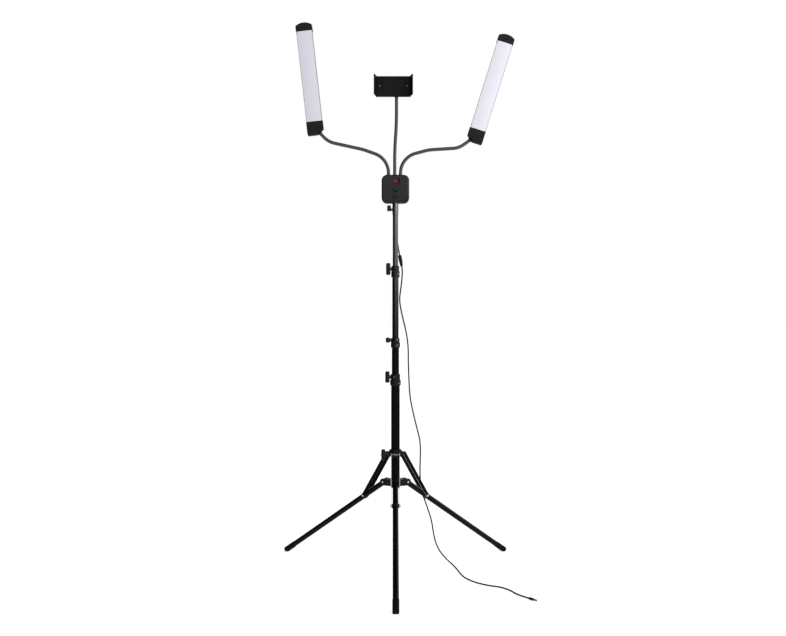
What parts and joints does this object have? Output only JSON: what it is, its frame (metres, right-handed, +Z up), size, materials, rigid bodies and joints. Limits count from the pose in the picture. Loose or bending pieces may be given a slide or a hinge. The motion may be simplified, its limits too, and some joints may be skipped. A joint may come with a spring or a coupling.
{
  "type": "two-arm led fill light with phone holder on tripod stand",
  "caption": "Light bars and a phone holder on bendable arms over a square control box, on a telescopic stand with reverse-folding tripod legs and a supply cord.",
  "frame": {"origin": "on the floor, under the column axis, in the middle of the three feet", "axes": "+Z up along the column, -Y to the front (dials and light faces), +X to the right seen from the front"},
  "size_m": [0.7091, 0.6023, 1.5802],
  "materials": {
    "tube_black": "satin black",
    "clamp_plastic": "moulded",
    "knob_plastic": "moulded",
    "hub_plastic": "moulded",
    "rivet_steel": "bright",
    "strut_steel": "satin black",
    "foot_rubber": "matte",
    "box_plastic": "fine texture",
    "dial_plastic": "moulded",
    "switch_black": "gloss",
    "rocker_red": "gloss",
    "board_green": "gloss",
    "neck_grey": "satin",
    "ferrule_black": "moulded",
    "lamp_housing": "satin",
    "lamp_cap": "moulded",
    "diffuser_white": "satin",
    "led_board": "gloss",
    "holder_black": "moulded",
    "spring_steel": "bright",
    "cord_black": "satin"
  },
  "bodies": {
    "stand_base": {"base_tube": "tube_black", "lower_hub": "hub_plastic", "hub_pivot_pins": "rivet_steel", "base_clamp": "clamp_plastic"},
    "slider": {"slider_collar": "hub_plastic", "collar_pivot_pins": "rivet_steel"},
    "collar_knob": {"collar_knob": "knob_plastic"},
    "base_knob": {"base_knob": "knob_plastic"},
    "second_section": {"second_tube": "tube_black", "second_clamp": "clamp_plastic"},
    "second_knob": {"second_knob": "knob_plastic"},
    "third_section": {"third_tube": "tube_black", "third_clamp": "clamp_plastic"},
    "third_knob": {"third_knob": "knob_plastic"},
    "top_section": {"top_tube": "tube_black", "lead_cord": "cord_black", "inline_socket": "cord_black", "inline_plug": "cord_black", "supply_cord": "cord_black", "supply_plug": "cord_black"},
    "head": {"box_front": "box_plastic", "box_rear": "box_plastic", "circuit_board": "board_green", "switch_bezel": "switch_black", "tube_socket": "clamp_plastic", "neck_ferrules": "ferrule_black", "cord_gland": "ferrule_black", "left_neck": "neck_grey", "middle_neck": "neck_grey", "right_neck": "neck_grey"},
    "socket_screw": {"socket_screw": "knob_plastic"},
    "rocker": {"rocker": "rocker_red"},
    "upper_dial": {"upper_dial": "dial_plastic"},
    "lower_dial": {"lower_dial": "dial_plastic"},
    "holder": {"holder_plate": "holder_black", "holder_springs": "spring_steel"},
    "jaw": {"holder_jaw": "holder_black"},
    "lamp_left": {"lamp_left_housing": "lamp_housing", "lamp_left_diffuser": "diffuser_white", "lamp_left_led_board": "led_board", "lamp_left_top_cap": "lamp_cap", "lamp_left_bottom_cap": "lamp_cap"},
    "lamp_right": {"lamp_right_housing": "lamp_housing", "lamp_right_diffuser": "diffuser_white", "lamp_right_led_board": "led_board", "lamp_right_top_cap": "lamp_cap", "lamp_right_bottom_cap": "lamp_cap"},
    "leg_front": {"leg_front_tube": "tube_black", "leg_front_saddle": "hub_plastic", "leg_front_foot": "foot_rubber"},
    "strut_front": {"strut_front": "strut_steel"},
    "leg_left": {"leg_left_tube": "tube_black", "leg_left_saddle": "hub_plastic", "leg_left_foot": "foot_rubber"},
    "strut_left": {"strut_left": "strut_steel"},
    "leg_right": {"leg_right_tube": "tube_black", "leg_right_saddle": "hub_plastic", "leg_right_foot": "foot_rubber"},
    "strut_right": {"strut_right": "strut_steel"}
  },
  "joints": [
    {"name": "leg_front_fold", "type": "hinge", "parent": "stand_base", "child": "leg_front", "pos_m": [0, -0.036, 0.2502], "axis": [-1, 0, 0], "range_deg": [0, 118]},
    {"name": "leg_left_fold", "type": "hinge", "parent": "stand_base", "child": "leg_left", "pos_m": [-0.03118, 0.018, 0.2502], "axis": [0.5, 0.866, 0], "range_deg": [0, 118]},
    {"name": "leg_right_fold", "type": "hinge", "parent": "stand_base", "child": "leg_right", "pos_m": [0.03118, 0.018, 0.2502], "axis": [0.5, -0.866, 0], "range_deg": [0, 118]},
    {"name": "collar_slide", "type": "slide", "parent": "stand_base", "child": "slider", "axis": [0, 0, 1], "range_m": [-0.0005, 0.14817]},
    {"name": "strut_front_swing", "type": "hinge", "parent": "slider", "child": "strut_front", "pos_m": [0, -0.0239, 0.3345], "axis": [-1, 0, 0], "range_deg": [-23.34, 0.2]},
    {"name": "strut_left_swing", "type": "hinge", "parent": "slider", "child": "strut_left", "pos_m": [-0.0207, 0.01195, 0.3345], "axis": [0.5, 0.866, 0], "range_deg": [-23.34, 0.2]},
    {"name": "strut_right_swing", "type": "hinge", "parent": "slider", "child": "strut_right", "pos_m": [0.0207, 0.01195, 0.3345], "axis": [0.5, -0.866, 0], "range_deg": [-23.34, 0.2]},
    {"name": "collar_knob_turn", "type": "hinge", "parent": "slider", "child": "collar_knob", "pos_m": [0, 0, 0.333], "axis": [-0.9063, -0.4226, 0], "range_deg": [0, 180]},
    {"name": "base_knob_turn", "type": "hinge", "parent": "stand_base", "child": "base_knob", "pos_m": [0, 0, 0.556], "axis": [-1, 0, 0], "range_deg": [0, 180]},
    {"name": "second_knob_turn", "type": "hinge", "parent": "second_section", "child": "second_knob", "pos_m": [0, 0, 0.663], "axis": [-1, 0, 0], "range_deg": [0, 180]},
    {"name": "third_knob_turn", "type": "hinge", "parent": "third_section", "child": "third_knob", "pos_m": [0, 0, 0.869], "axis": [-1, 0, 0], "range_deg": [0, 180]},
    {"name": "socket_screw_turn", "type": "hinge", "parent": "head", "child": "socket_screw", "pos_m": [0, 0, 1.041], "axis": [-1, 0, 0], "range_deg": [0, 180]},
    {"name": "second_slide", "type": "slide", "parent": "stand_base", "child": "second_section", "axis": [0, 0, 1], "range_m": [-0.07, 0.145], "deforming": ["lead_cord", "supply_cord"]},
    {"name": "third_slide", "type": "slide", "parent": "second_section", "child": "third_section", "axis": [0, 0, 1], "range_m": [-0.17, 0.0475], "deforming": ["lead_cord", "supply_cord"]},
    {"name": "top_slide", "type": "slide", "parent": "third_section", "child": "top_section", "axis": [0, 0, 1], "range_m": [-0.138, 0.055], "deforming": ["lead_cord", "supply_cord"]},
    {"name": "head_swivel", "type": "hinge", "parent": "top_section", "child": "head", "pos_m": [0, 0, 1.04], "axis": [0, 0, 1], "range_deg": [-60, 60], "deforming": ["lead_cord", "supply_cord"]},
    {"name": "rocker_tilt", "type": "hinge", "parent": "head", "child": "rocker", "pos_m": [0.004, -0.0162, 1.1217], "axis": [0, 0, 1], "range_deg": [0, 12]},
    {"name": "upper_dial_turn", "type": "hinge", "parent": "head", "child": "upper_dial", "pos_m": [0, 0, 1.099], "axis": [0, -1, 0], "range_deg": [-135, 135]},
    {"name": "lower_dial_turn", "type": "hinge", "parent": "head", "child": "lower_dial", "pos_m": [0, 0, 1.0795], "axis": [0, -1, 0], "range_deg": [-135, 135]},
    {"name": "left_arm_bend", "type": "hinge", "parent": "head", "child": "lamp_left", "pos_m": [-0.1, 0, 1.2165], "axis": [0, 1, 0], "range_deg": [-35, 25], "deforming": ["left_neck"]},
    {"name": "right_arm_bend", "type": "hinge", "parent": "head", "child": "lamp_right", "pos_m": [0.1, 0, 1.2145], "axis": [0, -1, 0], "range_deg": [-35, 25], "deforming": ["right_neck"]},
    {"name": "holder_bend", "type": "hinge", "parent": "head", "child": "holder", "pos_m": [0.0006, 0, 1.2525], "axis": [1, 0, 0], "range_deg": [-35, 35], "deforming": ["middle_neck"]},
    {"name": "jaw_slide", "type": "slide", "parent": "holder", "child": "jaw", "axis": [1, 0, 0], "range_m": [0, 0.03], "stiffness_N_per_m": 80, "springref_m": -0.02, "deforming": ["holder_springs"]}
  ],
  "couplings": [
    {"joint": "leg_left_fold", "follows": "leg_front_fold", "ratio": 1},
    {"joint": "leg_right_fold", "follows": "leg_front_fold", "ratio": 1},
    {"joint": "collar_slide", "follows": "leg_front_fold", "m_per_rad": 0.071701},
    {"joint": "strut_front_swing", "follows": "leg_front_fold", "ratio": -0.19607},
    {"joint": "strut_left_swing", "follows": "leg_front_fold", "ratio": -0.19607},
    {"joint": "strut_right_swing", "follows": "leg_front_fold", "ratio": -0.19607}
  ]
}
